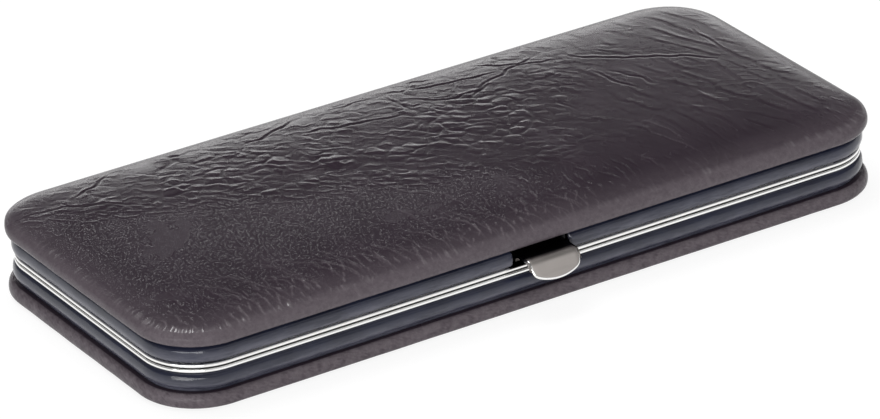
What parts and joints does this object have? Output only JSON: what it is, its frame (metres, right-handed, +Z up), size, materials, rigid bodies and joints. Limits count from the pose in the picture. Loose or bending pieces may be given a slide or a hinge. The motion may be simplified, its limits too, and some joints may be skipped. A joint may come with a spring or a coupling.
{
  "type": "manicure set case",
  "caption": "Slim framed leather case for a manicure set: two padded covers on hinged metal rails with bowed side bands, sprung front latch tab and lined inside with tool straps.",
  "frame": {"origin": "centre of the bottom cover's underside, between the four edges of the covers", "axes": "+X along the case, +Y towards the hinge side, +Z up through the closed lid"},
  "size_m": [0.165, 0.0783, 0.0166],
  "materials": {
    "cover_leather": "crushed, semi-gloss",
    "band_leather": "smooth, glossy",
    "padding": "foam",
    "board": "matt",
    "nickel": "polished nickel plate",
    "rivet": "polished",
    "blackened_steel": "satin black",
    "spring_steel": "satin",
    "lining": "suede-like nap",
    "strap": "smooth, semi-matt"
  },
  "bodies": {
    "base": {"bottom_cover_leather": "cover_leather", "bottom_cover_foam": "padding", "bottom_cover_board": "board", "base_side_band": "band_leather", "base_frame": "nickel", "base_frame_rivets": "rivet", "base_lining_wall": "lining", "base_lining_pad": "lining", "tool_band_left": "strap", "tool_band_right": "strap", "striker": "spring_steel", "striker_rivets": "rivet", "base_hinge_leaf_left": "nickel", "base_hinge_rivets_left": "rivet", "hinge_pin_left": "nickel", "base_hinge_leaf_right": "nickel", "base_hinge_rivets_right": "rivet", "hinge_pin_right": "nickel"},
    "lid": {"top_cover_leather": "cover_leather", "top_cover_foam": "padding", "top_cover_board": "board", "lid_side_band": "band_leather", "lid_frame": "nickel", "lid_frame_rivets": "rivet", "lid_lining_wall": "lining", "lid_lining_pad": "lining", "latch_housing": "blackened_steel", "latch_housing_rivets": "rivet", "latch_pin": "spring_steel", "latch_spring": "spring_steel", "lid_hinge_leaf_left": "nickel", "lid_hinge_rivets_left": "rivet", "lid_hinge_leaf_right": "nickel", "lid_hinge_rivets_right": "rivet"},
    "latch": {"latch_lever": "nickel"}
  },
  "joints": [
    {"name": "lid_hinge", "type": "hinge", "parent": "base", "child": "lid", "pos_m": [0, 0.0353, 0.0083], "axis": [-1, 0, 0], "range_deg": [0, 135]},
    {"name": "latch_press", "type": "hinge", "parent": "lid", "child": "latch", "pos_m": [0, -0.0315, 0.0114], "axis": [1, 0, 0], "range_deg": [0, 12], "stiffness_Nm_per_rad": 0.02, "springref_deg": -6.88}
  ]
}
